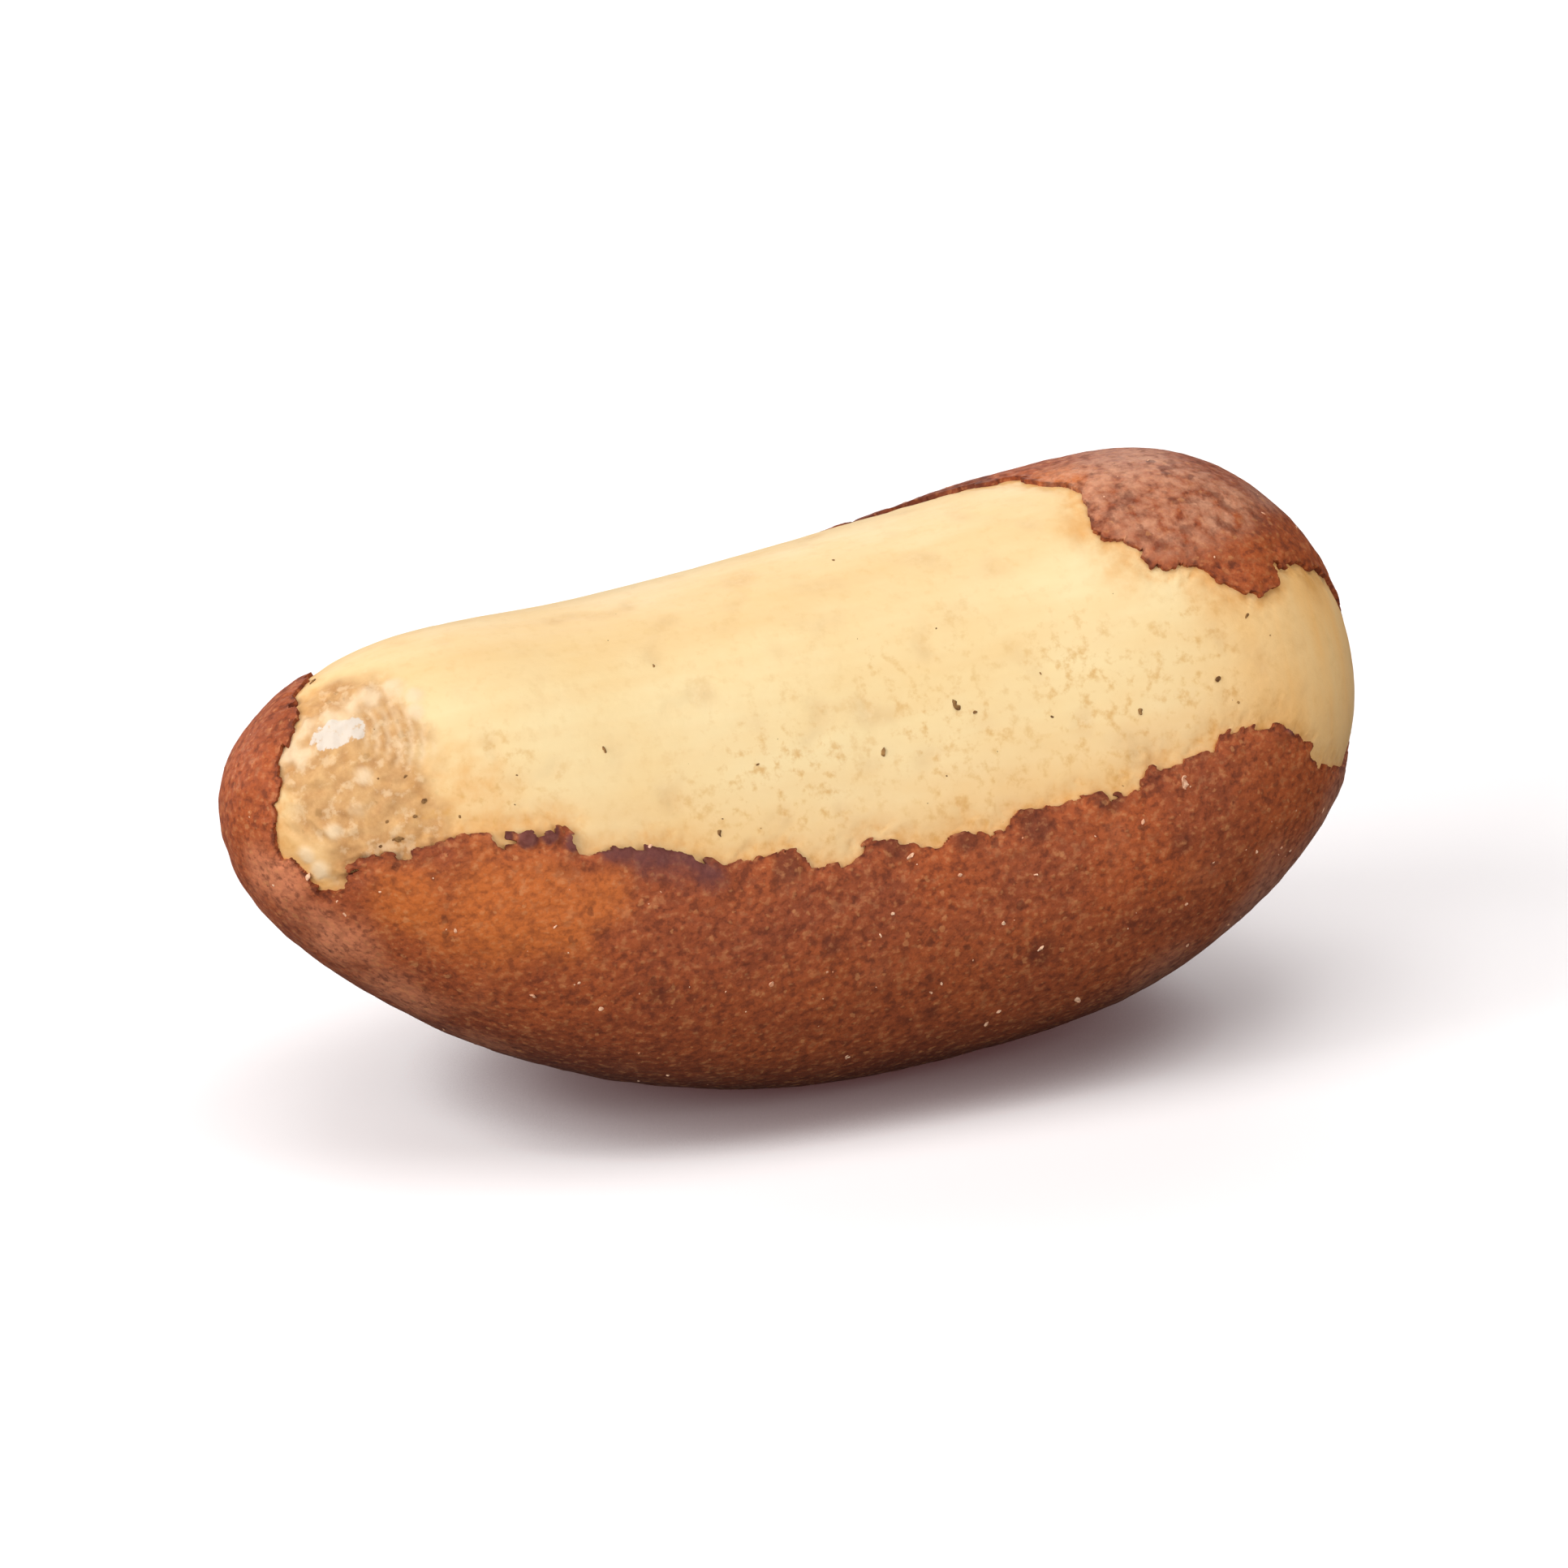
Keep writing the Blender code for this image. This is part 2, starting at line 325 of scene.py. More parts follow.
# The slim end is scuffed to a mealy tan, with a pale flake lifted on it and a fan of short scratches beside
# it. Each place is given along the nut, round it, and by how far it reaches.
SCUFFED = [(-15.3, 115, 2.3), (-15.7, 140, 3.1), (-15.2, 167, 2.6)]
FLAKED = [(-16.3, 116.5, 0.55), (-15.9, 119, 0.75), (-15.4, 119, 0.6)]
MEALY = [(-15.7, 111, 0.7), (-15.2, 108.5, 0.6), (-14.5, 107.5, 0.6), (-13.8, 108, 0.55), (-13.3, 113, 0.4),
         (-17.1, 114.5, 0.7), (-16.6, 108, 0.8), (-16.9, 122, 0.6), (-13.5, 118.5, 0.4), (-15.5, 139.5, 0.4),
         (-15.9, 155, 0.35), (-16.6, 166, 0.35), (-17.3, 184, 0.45), (-17, 190, 0.5)]
SCRATCHED = [(-14.4, 122, 1.3), (-14.0, 129, 1.1)]
SCRATCH_SPACING = 0.34
SCRATCH_MIDDLE = (-16.6, 118)
# The flesh is stained tan beside the scuffed end and below the upper skin; loose dust lies on its lower half
STAINED = [(-12.9, 150, 2.6), (-12.4, 157, 1.9), (-10.6, 156, 1.2), (9.0, 107, 1.2), (9.8, 119, 1.6),
           (12.3, 132, 1.5), (14.6, 135, 0.9), (-16.2, 96, 1.6), (16.2, 132, 1.2)]
DUSTY = [(-3, 150, 5.0), (3, 153, 6.0), (8, 150, 5.0), (11, 150, 4.0), (-12, 150, 3.0)]
# How high these stand on the flesh, or how deep they are sunk
PEBBLE_HEIGHT = 0.03
GRIT_HEIGHT = 0.02
STREAK_HEIGHT = 0.012
FLAKE_HEIGHT = 0.06
MEAL_HEIGHT = 0.04
MARGIN_DEPTH = 0.05
SCUFF_DEPTH = 0.08
SCRATCH_DEPTH = 0.025
LEAST_GAP = 0.02                             # the flesh stays this far above the table, inside its skin

bare = on_skin < 0.3
bare_points = body[bare]
scuff, flake, mealy, scratch, stained, dusty, fine, streaks = np.zeros((8, len(body)))
scuff[bare] = smooth_step(near(bare_points, SCUFFED) + 0.22 * wander(bare_points, 1.1), 0.02, 0.42)
ragged = 0.5 * wander(bare_points, 0.6) + 0.3 * wander(bare_points, 0.25, 1.0, 9.1)
flake[bare] = smooth_step(near(bare_points, FLAKED) * (1 + 1.5 * ragged), 0.12, 0.5)
mealy[bare] = smooth_step(near(bare_points, MEALY) * (1 + 1.6 * ragged), 0.05, 0.8)
scratch_middle = surface(np.arccos(-SCRATCH_MIDDLE[0] / (LENGTH / 2)), math.radians(SCRATCH_MIDDLE[1]))
ripples = np.cos(2 * math.pi * np.linalg.norm(bare_points - scratch_middle, axis=1) / SCRATCH_SPACING)
scratch[bare] = smooth_step(ripples, -0.2, 0.9) * smooth_step(near(bare_points, SCRATCHED), 0.1, 0.5)
stained[bare] = smooth_step(near(bare_points, STAINED) * (1 + ragged), 0.0, 0.9)
dusty[bare] = smooth_step(near(bare_points, DUSTY) + 0.3 * wander(bare_points, 2.0), 0.1, 0.8)
margin = smooth_step(on_skin, -0.9, -0.1)
fine[bare] = PEBBLE_HEIGHT * (cells(bare_points, 0.5) - 0.5) + GRIT_HEIGHT * wander(bare_points, 0.3)
streaks[bare] = wander(bare_points, 0.8, 7.0, 2.2)
flesh_relief = relief + STREAK_HEIGHT * streaks + fine * (0.15 + 4.0 * scuff + 0.5 * margin)
flesh_relief += FLAKE_HEIGHT * flake + MEAL_HEIGHT * mealy
flesh_relief -= MARGIN_DEPTH * margin + SCUFF_DEPTH * scuff + SCRATCH_DEPTH * scratch
flesh_points = body + normals * flesh_relief[:, None]
flesh_points[:, 2] = np.maximum(flesh_points[:, 2], ORIGIN[2] + LEAST_GAP)
flesh = make_piece("flesh", flesh_points, triangles)
# Painted shade at the blunt end, which faces away from the light: its cream is drawn deeper.
blunt = smooth_step(body[:, 0], 10, 17.5)
# Painted shade: the flesh is tinted tan towards its lower edge and at the blunt end, where less light falls;
# it is also tinted tan along its upper part.
warm = smooth_step(on_skin, -4.5, 0.0) * smooth_step(np.sin(around), 0.9, -0.1) + 0.7 * blunt
warm += 0.3 * smooth_step(around, 2.1, 1.8)
set_attributes(flesh.data, scuff=scuff, flake=flake, mealy=mealy, scratch=scratch, stained=stained,
               dusty=dusty, blunt=blunt, warm=np.clip(warm, 0, 1.2), edge_mm=np.clip(-on_skin, 0, 6))
flesh_body, flesh_bare = body, on_skin < -0.15


def srgb(red, green, blue):
    """A colour as eyes see it, 0 to 255, turned into the linear numbers that shaders take."""
    shares = (red / 255, green / 255, blue / 255)
    return [c / 12.92 if c <= 0.04045 else ((c + 0.055) / 1.055)**2.4 for c in shares]


def add(tree, kind, inputs=(), **settings):
    """A node with its settings; each input takes a value, or is linked from another node's output."""
    made = tree.nodes.new(kind)
    for name, value in settings.items():
        setattr(made, name, value)
    for name, value in dict(inputs).items():
        if isinstance(value, bpy.types.NodeSocket):
            tree.links.new(value, made.inputs[name])
        else:
            made.inputs[name].default_value = value
    return made


def maths(tree, operation, *values):
    return add(tree, "ShaderNodeMath", enumerate(values), operation=operation).outputs[0]


def remap(tree, value, low, high, to_low=0.0, to_high=1.0):
    """A value's range from low to high, eased, onto another range."""
    inputs = {"Value": value, "From Min": low, "From Max": high, "To Min": to_low, "To Max": to_high}
    return add(tree, "ShaderNodeMapRange", inputs, interpolation_type="SMOOTHSTEP").outputs["Result"]


def over(tree, share, below, above, mode="MIX"):
    """One colour over another, by a share from 0 to 1."""
    colours = [(*c, 1.0) if isinstance(c, (list, tuple)) else c for c in (below, above)]
    inputs = {0: share, 6: colours[0], 7: colours[1]}
    return add(tree, "ShaderNodeMix", inputs, data_type="RGBA", blend_type=mode).outputs[2]


def reading(tree, name):
    """A value that the mesh carries for each point."""
    return add(tree, "ShaderNodeAttribute", attribute_name=name).outputs["Fac"]


def effect(name, sizes, output):
    """An empty shader node group with named inputs and one output; gives the group and its two end nodes."""
    group = bpy.data.node_groups.new(name, "ShaderNodeTree")
    for size, value in sizes.items():
        socket = group.interface.new_socket(name=size, in_out="INPUT", socket_type="NodeSocketFloat")
        socket.default_value = value
    group.interface.new_socket(name=output, in_out="OUTPUT", socket_type="NodeSocketFloat")
    return group, add(group, "NodeGroupInput"), add(group, "NodeGroupOutput")


def scaled_place(tree, width, stretch=None):
    """Object coordinates in units of width millimetres, drawn out along the nut by stretch."""
    place = add(tree, "ShaderNodeTexCoord").outputs["Object"]
    scale = maths(tree, "DIVIDE", 1 / METRE, width)
    place = add(tree, "ShaderNodeVectorMath", {0: place, "Scale": scale}, operation="SCALE").outputs[0]
    if stretch is None:
        return place
    lengths = add(tree, "ShaderNodeCombineXYZ", {0: stretch, 1: 1.0, 2: 1.0}).outputs[0]
    return add(tree, "ShaderNodeVectorMath", {0: place, 1: lengths}, operation="DIVIDE").outputs[0]


# Cloudy unevenness, drawn out along the nut: colour drifts, streaks and fibres
clouds, ins, outs = effect("clouds", {"Width": 1.0, "Stretch": 1.0, "Detail": 3.0, "Contrast": 1.0}, "Value")
cloud = add(clouds, "ShaderNodeTexNoise", {
    "Vector": scaled_place(clouds, ins.outputs["Width"], ins.outputs["Stretch"]), "Scale": 1.0,
    "Detail": ins.outputs["Detail"], "Roughness": 0.6})
centred = maths(clouds, "SUBTRACT", cloud.outputs[0], 0.5)
spread = maths(clouds, "MULTIPLY_ADD", centred, ins.outputs["Contrast"], 0.5)
clouds.links.new(add(clouds, "ShaderNodeClamp", {"Value": spread}).outputs[0], outs.inputs["Value"])

# Scattered specks: only a share of the cells hold one, each of its own size
specks, ins, outs = effect("specks", {"Spacing": 0.5, "Share": 0.3, "Size": 0.3}, "Mask")
place = scaled_place(specks, ins.outputs["Spacing"])
bent = add(specks, "ShaderNodeTexNoise", {"Vector": place, "Scale": 2.5, "Detail": 1.0}).outputs["Color"]
bent = add(specks, "ShaderNodeVectorMath", {0: bent, "Scale": 0.5}, operation="SCALE").outputs[0]
place = add(specks, "ShaderNodeVectorMath", {0: place, 1: bent}, operation="ADD").outputs[0]
cell = add(specks, "ShaderNodeTexVoronoi", {"Vector": place, "Scale": 1.0})
draw = add(specks, "ShaderNodeSeparateColor", {"Color": cell.outputs["Color"]})
chosen = maths(specks, "LESS_THAN", draw.outputs["Red"], ins.outputs["Share"])
drawn_size = maths(specks, "MULTIPLY_ADD", draw.outputs["Green"], 0.7, 0.3)
radius = maths(specks, "MULTIPLY", drawn_size, ins.outputs["Size"])
inner = maths(specks, "MULTIPLY", radius, 0.6)
disc = remap(specks, cell.outputs["Distance"], radius, inner)
specks.links.new(maths(specks, "MULTIPLY", disc, chosen), outs.inputs["Mask"])

# Packed grains with valleys between them, like the surface of fine leather: 0 in the valleys, 1 on the grains
grains, ins, outs = effect("grains", {"Width": 0.3, "Stretch": 1.0}, "Height")
place = scaled_place(grains, ins.outputs["Width"], ins.outputs["Stretch"])
cell = add(grains, "ShaderNodeTexVoronoi", {"Vector": place, "Scale": 1.0})
roughening = add(grains, "ShaderNodeTexNoise", {"Vector": place, "Scale": 1.7, "Detail": 2.0}).outputs[0]
height = maths(grains, "MULTIPLY_ADD", cell.outputs["Distance"], -0.8, maths(grains, "ADD", roughening, 0.35))
grains.links.new(add(grains, "ShaderNodeClamp", {"Value": height}).outputs[0], outs.inputs["Height"])


def use(tree, group, **sizes):
    """Places an effect with its own sizes and gives its output."""
    made = add(tree, "ShaderNodeGroup", node_tree=group)
    for name, value in sizes.items():
        made.inputs[name].default_value = value
    return made.outputs[0]


def part_of(tree, share, value):
    """A share from 0 to 1 of a value that changes over the surface."""
    return maths(tree, "MULTIPLY", value, share)


def new_material(name, **shader_values):
    """A material whose Principled shader has these plain values set on its own sockets."""
    material = bpy.data.materials.new(name)
    material.use_nodes = True
    shader = material.node_tree.nodes["Principled BSDF"]
    for socket, value in shader_values.items():
        shader.inputs[socket.replace("_", " ")].default_value = value
    return material, material.node_tree, shader


CREAM_BRIGHT = srgb(238, 217, 168)
CREAM_WARM = srgb(235, 204, 146)
CREAM_TAN = srgb(221, 157, 80)
CREAM_END_SHADE = srgb(252, 196, 122)
SCUFF_TAN = srgb(176, 122, 70)
SCUFF_LIGHT = srgb(210, 162, 106)
MEAL_PALE = srgb(232, 204, 166)
FLAKE_WHITE = srgb(219, 205, 190)
SPECK_BROWN = srgb(158, 112, 60)
DUST_OCHRE = srgb(206, 150, 72)

cream, tree, shader = new_material("cream_flesh", Specular_IOR_Level=0.35)
drift = use(tree, clouds, Width=4.0, Stretch=1.3, Detail=4.0, Contrast=2.0)
streak = use(tree, clouds, Width=0.7, Stretch=9.0, Detail=2.0, Contrast=1.8)
bands = use(tree, clouds, Width=5.0, Stretch=0.16, Detail=2.0, Contrast=3.2)
colour = over(tree, drift, CREAM_BRIGHT, CREAM_WARM)
colour = over(tree, part_of(tree, 0.18, streak), colour, CREAM_TAN)
# Painted shade: the flesh turns tan towards its lower edge and at the blunt end.
warmth = reading(tree, "warm")
colour = over(tree, part_of(tree, 0.62, warmth), colour, CREAM_TAN)
# Painted shade: a deeper cream at the blunt end, crossed by paler bands.
blunt_end = reading(tree, "blunt")
colour = over(tree, part_of(tree, 0.85, blunt_end), colour, CREAM_END_SHADE)
colour = over(tree, maths(tree, "MULTIPLY", part_of(tree, 0.35, bands), blunt_end), colour, CREAM_BRIGHT)
stain_clouds = remap(tree, use(tree, clouds, Width=0.6, Detail=4.0, Contrast=1.6), 0.1, 0.9, 0.25, 0.7)
stain_share = maths(tree, "MULTIPLY", reading(tree, "stained"), stain_clouds)
colour = over(tree, stain_share, colour, CREAM_TAN)
edge = reading(tree, "edge_mm")
margin_clouds = use(tree, clouds, Width=0.4, Contrast=2.5)
margin_share = maths(tree, "MULTIPLY", remap(tree, edge, 0.9, 0.0), margin_clouds)
colour = over(tree, part_of(tree, 0.75, margin_share), colour, CREAM_TAN)
scuffed = reading(tree, "scuff")
scuff_grain = use(tree, clouds, Width=0.42, Detail=4.0, Contrast=2.4)
scuff_colour = over(tree, scuff_grain, SCUFF_TAN, SCUFF_LIGHT)
meal = use(tree, clouds, Width=0.45, Detail=5.0, Contrast=3.5)
scuff_colour = over(tree, remap(tree, meal, 0.55, 1.0, 0.0, 0.42), scuff_colour, MEAL_PALE)
pits = use(tree, specks, Spacing=0.4, Share=0.4, Size=0.36)
scuff_colour = over(tree, part_of(tree, 0.55, pits), scuff_colour, SPECK_BROWN)
colour = over(tree, part_of(tree, 0.9, scuffed), colour, scuff_colour)
for name, share in {"mealy": 0.8, "scratch": 0.42}.items():
    colour = over(tree, part_of(tree, share, reading(tree, name)), colour, MEAL_PALE)
ragged = use(tree, clouds, Width=0.4, Detail=3.0, Contrast=2.4)
flake_share = remap(tree, maths(tree, "ADD", reading(tree, "flake"), ragged), 1.02, 1.3, 0.0, 0.95)
colour = over(tree, flake_share, colour, FLAKE_WHITE)
smudges = remap(tree, use(tree, clouds, Width=0.4, Detail=5.0, Contrast=1.9), 0.48, 0.95)
dust = maths(tree, "MULTIPLY", smudges, maths(tree, "MULTIPLY_ADD", reading(tree, "dusty"), 0.55, 0.14))
colour = over(tree, dust, colour, DUST_OCHRE)
tree.links.new(colour, shader.inputs["Base Color"])
roughness = remap(tree, drift, 0.0, 1.0, 0.4, 0.55)
tree.links.new(over(tree, scuffed, roughness, (0.8, 0.8, 0.8)), shader.inputs["Roughness"])
height = maths(tree, "MULTIPLY_ADD", streak, 0.8, use(tree, grains, Width=0.22, Stretch=1.5))
bump = add(tree, "ShaderNodeBump", {"Height": height, "Distance": 0.012 * METRE, "Strength": 0.6})
tree.links.new(bump.outputs[0], shader.inputs["Normal"])
flesh.data.materials.append(cream)
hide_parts("kernel")
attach(flesh, "root")


# The skin
# A thin papery coat, dull reddish brown and finely grained like leather. It is grown onto the flesh. Along
# its torn edges it ends in a small step, and here and there it has come loose and curls up, with painted shade
# darkening the curls.

SKIN_FACES_ROUND_QUARTER = 50
SKIN_FINER = [(-0.6, 0.8), (-0.3, 0.4)]
EDGE_THICKNESS = 0.08
SUNK = 0.07                                  # the skin's under side lies this deep in the flesh
SMALLEST_PIECE = 40                          # faces: smaller scraps of skin and bare specks are left out
SMALLEST_HOLE = 150
CURLS = [(-11.9, 161, 0.4), (-11.2, 161, 0.45), (-10.5, 159, 0.45), (-9.9, 161, 0.4), (-8.5, 162.5, 0.9),
         (-7.6, 166, 1.3), (-6.6, 168.5, 1.4), (-5.8, 170, 0.9), (13.9, 172, 0.4)]
CURL_HEIGHT = 0.14
CURL_REACH = 0.85
LOOSE_HEIGHT = 0.05                          # the rest of the edge lifts a little, here and there
LOOSE_REACH = 0.3
WRINKLE_HEIGHT = 0.02
GRAIN_HEIGHT = 0.03
UNEVEN_HEIGHT = 0.025
SHARP_CORNER = 42.0


def islands(triangles, count):
    """Numbers the points so that all that hang together have the same number."""
    label = np.arange(count)
    while True:
        lowest = label[triangles].min(1)
        joined = label.copy()
        for corner in triangles.T:
            np.minimum.at(joined, corner, lowest)
        joined = joined[joined]
        if (joined == label).all():
            return label
        label = joined


def closed_pinholes(triangles, distance):
    """Covers the bare specks that are too small to be torn places: their points count as skin."""
    bare_faces = triangles[(distance[triangles] < 0).all(1)]
    label = islands(bare_faces, len(distance))
    sizes = np.bincount(label, minlength=len(distance))
    return np.where((distance < 0) & (sizes[label] < SMALLEST_HOLE), 0.02, distance)


def snapped_to_edge(points, triangles, distance):
    """Moves the points nearest to the torn edge onto it, so that no triangle lies across it."""
    edges = np.concatenate([triangles[:, [0, 1]], triangles[:, [1, 2]], triangles[:, [2, 0]]])
    edges = np.unique(np.sort(edges, axis=1), axis=0)
    first, second = edges[distance[edges[:, 0]] * distance[edges[:, 1]] < 0].T
    share = distance[first] / (distance[first] - distance[second])
    closer = np.where(share < 0.5, first, second)
    other = np.where(share < 0.5, second, first)
    move = np.minimum(share, 1 - share)
    order = np.argsort(-move)
    partner = np.full(len(points), -1)
    amount = np.zeros(len(points))
    partner[closer[order]] = other[order]
    amount[closer[order]] = move[order]
    moved = partner >= 0
    points, distance = points.copy(), distance.copy()
    points[moved] += amount[moved, None] * (points[partner[moved]] - points[moved])
    distance[moved] = 0
    return points, distance


def whole_pieces(triangles, count):
    """Leaves out scraps, and faces that hang on by a single point."""
    while True:
        edges = np.concatenate([triangles[:, [0, 1]], triangles[:, [1, 2]], triangles[:, [2, 0]]])
        edges, uses = np.unique(np.sort(edges, axis=1), axis=0, return_counts=True)
        rims_at = np.bincount(edges[uses == 1].ravel(), minlength=count)
        pinched = (rims_at > 2)[triangles].any(1)
        if not pinched.any():
            break
        triangles = triangles[~pinched]
    label = islands(triangles, count)
    sizes = np.bincount(label[triangles[:, 0]], minlength=count)
    return triangles[sizes[label[triangles[:, 0]]] >= SMALLEST_PIECE]


def rim_edges(triangles):
    """The edges that only one triangle has, in its own direction."""
    edges = np.concatenate([triangles[:, [0, 1]], triangles[:, [1, 2]], triangles[:, [2, 0]]])
    count = edges.max() + 1
    forward, backward = edges @ [count, 1], edges @ [1, count]
    return edges[~np.isin(forward, backward)]


along, around, triangles, on_skin = faces_on_nut(SKIN_FACES_ROUND_QUARTER, SKIN_FINER)
normals = outward(along, around)
on_skin = closed_pinholes(triangles, on_skin)
body, on_skin = snapped_to_edge(surface(along, around), triangles, on_skin)
skin_triangles = triangles[(on_skin[triangles] >= 0).all(1) & (on_skin[triangles].max(1) > 0)]
skin_triangles = whole_pieces(skin_triangles, len(body))
used, skin_triangles = np.unique(skin_triangles, return_inverse=True)
skin_triangles = skin_triangles.reshape(-1, 3)
body, normals, on_skin, around = body[used], normals[used], on_skin[used], around[used]

curl_with_shade = np.clip(1.6 * near(body, CURLS), 0, 1) * np.exp(-on_skin / CURL_REACH)
loose = smooth_step(wander(body, 1.1, 1.0, 5.5), 0.0, 0.5) * np.exp(-on_skin / LOOSE_REACH)
lift = CURL_HEIGHT * curl_with_shade + LOOSE_HEIGHT * loose
wrinkles = 1 - np.abs(wander(body, 0.9, 5.0, 1.7)) * 2.5
thickness = EDGE_THICKNESS + (SKIN_THICKNESS - EDGE_THICKNESS) * smooth_step(on_skin, 0, 0.6)
texture = WRINKLE_HEIGHT * wrinkles + GRAIN_HEIGHT * (0.45 - cells(body, 0.5))
texture += UNEVEN_HEIGHT * wander(body, 1.0)
settled = smooth_step(on_skin, 0, 0.4)
top = body_relief(body) + thickness + lift + texture * (0.4 + 0.6 * settled)
under = body_relief(body) - SUNK + (lift + 0.04) * (curl_with_shade > 0.12)
outer, inner = body + normals * top[:, None], body + normals * under[:, None]
count = len(body)
rim = rim_edges(skin_triangles)
walls = np.stack([rim[:, 1], rim[:, 0], rim[:, 0] + count, rim[:, 1] + count], -1)
walls = np.concatenate([walls[:, [0, 1, 2]], walls[:, [0, 2, 3]]])
skin_faces = np.concatenate([skin_triangles, skin_triangles[:, ::-1] + count, walls])
skin_points = np.concatenate([outer, inner])
skin_points[:, 2] = np.maximum(skin_points[:, 2], ORIGIN[2])
skin = make_piece("skin", skin_points, skin_faces)
skin.data.set_sharp_from_angle(angle=math.radians(SHARP_CORNER))

# The slim end is redder and rubbed, an orange patch lies below the flake and a rubbed pinkish one on the blunt
# end, and there are dark blotches. Painted light makes the skin paler low on the slim end, painted sheen greys
# it low along the blunt end and on its top, and painted shade darkens it where it faces down and along the
# upper strip
ORANGE = [(-14.6, 186, 2.0), (-12.8, 184, 2.6), (-11, 181, 2.6), (-9.2, 175.5, 1.5), (9.8, 91, 1.3)]
RUBBED = [(12.0, 104, 3.4), (13.3, 109, 2.0), (10.6, 98, 2.6)]
RUDDY = [(13.9, 110, 1.0), (14.3, 128, 2.0), (16.3, 118, 2.0), (-18.3, 120, 3.4), (8, 181, 3.5),
         (14, 190, 3.5), (2, 176, 2.5)]
# Painted sheen: the skin is drawn greyer and paler low along the blunt end's outline and on top of the blunt
# end.
SHEEN_PLACES = [(13.5, 222, 4.0), (10, 227, 3.4), (16.5, 214, 2.8), (12, 88, 3.0), (15.6, 102, 1.2)]
# Painted light: the skin is drawn paler low on the slim end, where light reaches it.
LIT_PLACES = [(-17.8, 212, 1.8), (-16.4, 224, 2.2), (-14.2, 233, 2.2), (-11.7, 238, 1.8)]
# Dark blotches; those along the upper edge of the skin strip on the blunt half are painted shade.
BLOTCHES_AND_SHADE = [(4.8, 197, 0.75), (-2.1, 186, 0.5), (9.6, 184, 0.5), (-7.6, 197, 0.5), (1.4, 206, 0.4),
            (4.6, 69, 1.2), (6.2, 73, 1.3), (7.7, 77, 1.0), (-3.3, 167.5, 0.7), (0.4, 168, 0.6),
            (2.6, 169, 0.7), (4.9, 169.5, 0.8), (7.3, 169, 0.7)]
drifting = wander(body, 1.6)
finer = wander(body, 0.8, 1.0, 4.4)
masks = {
    "orange": smooth_step(near(body, ORANGE) + 0.25 * drifting + 0.15 * finer, 0.05, 0.75),
    "rubbed": smooth_step(near(body, RUBBED) + 0.2 * drifting, 0.05, 0.5),
    "ruddy": smooth_step(near(body, RUDDY) + 0.3 * drifting, 0.1, 0.8),
    "painted_sheen": smooth_step(near(body, SHEEN_PLACES) + 0.25 * drifting, 0.1, 0.8),
    "painted_light": smooth_step(near(body, LIT_PLACES) + 0.25 * drifting + 0.2 * finer, 0.1, 0.9),
    "blotches_and_shade": smooth_step(near(body, BLOTCHES_AND_SHADE) + 0.3 * finer, 0.1, 0.6),
    # Painted shade: darker where the skin faces down, except at the slim tip.
    "belly_shade": smooth_step(-normals[:, 2], 0.45, 1.0) * smooth_step(body[:, 0], -18, -9),
    "curl_with_shade": curl_with_shade,
    "edge_mm": np.clip(on_skin, 0, 6),
}
set_attributes(skin.data, **{name: np.tile(values, 2) for name, values in masks.items()})
skin_body = body

SKIN_RED = srgb(168, 83, 43)
SKIN_DARK = srgb(133, 63, 38)
SKIN_DEEP = srgb(88, 40, 27)
SKIN_ORANGE = srgb(197, 105, 46)
SKIN_RUDDY = srgb(174, 84, 40)
SKIN_LIT = srgb(224, 140, 100)
RUBBED_PALE = srgb(216, 156, 122)
RUBBED_DARK = srgb(104, 50, 32)
SKIN_SHEEN = srgb(180, 124, 100)
SKIN_BELLY_SHADE = srgb(82, 39, 29)
CURL_SHADE = srgb(104, 58, 56)
GRAIN_PALE = srgb(202, 136, 86)
GRAIN_DARK = srgb(74, 35, 24)

brown, tree, shader = new_material("brown_skin", Specular_IOR_Level=0.18)
drift = use(tree, clouds, Width=2.2, Stretch=1.3, Detail=5.0, Contrast=2.6)
freckle = use(tree, clouds, Width=0.27, Stretch=1.1, Detail=4.0, Contrast=3.2)
leather = use(tree, grains, Width=0.24, Stretch=1.3)
colour = over(tree, part_of(tree, 0.75, drift), SKIN_RED, SKIN_DARK)
SKIN_PLACES = {"ruddy": (0.7, SKIN_RUDDY), "orange": (0.85, SKIN_ORANGE), "painted_sheen": (0.75, SKIN_SHEEN),
               "painted_light": (0.8, SKIN_LIT), "belly_shade": (0.88, SKIN_BELLY_SHADE), "blotches_and_shade": (0.6, SKIN_DEEP)}
for name, (share, tone) in SKIN_PLACES.items():
    colour = over(tree, part_of(tree, share, reading(tree, name)), colour, tone)
freckle_share = maths(tree, "MULTIPLY_ADD", reading(tree, "orange"), -0.22, 0.54)
colour = over(tree, maths(tree, "MULTIPLY", remap(tree, freckle, 0.5, 1.0), freckle_share), colour, SKIN_DEEP)
colour = over(tree, remap(tree, freckle, 0.4, 0.0, 0.0, 0.3), colour, GRAIN_PALE)
colour = over(tree, remap(tree, leather, 0.6, 0.9, 0.0, 0.4), colour, GRAIN_PALE)
valleys = remap(tree, leather, 0.5, 0.2)
colour = over(tree, part_of(tree, 0.25, valleys), colour, SKIN_DEEP)
rubbed = reading(tree, "rubbed")
scratches = use(tree, clouds, Width=0.55, Stretch=0.8, Detail=5.0, Contrast=3.2)
colour = over(tree, maths(tree, "MULTIPLY", part_of(tree, 0.72, rubbed), scratches), colour, RUBBED_PALE)
mottles = remap(tree, use(tree, clouds, Width=0.7, Detail=4.0, Contrast=3.4), 0.45, 0.0)
colour = over(tree, maths(tree, "MULTIPLY", part_of(tree, 0.6, rubbed), mottles), colour, RUBBED_DARK)
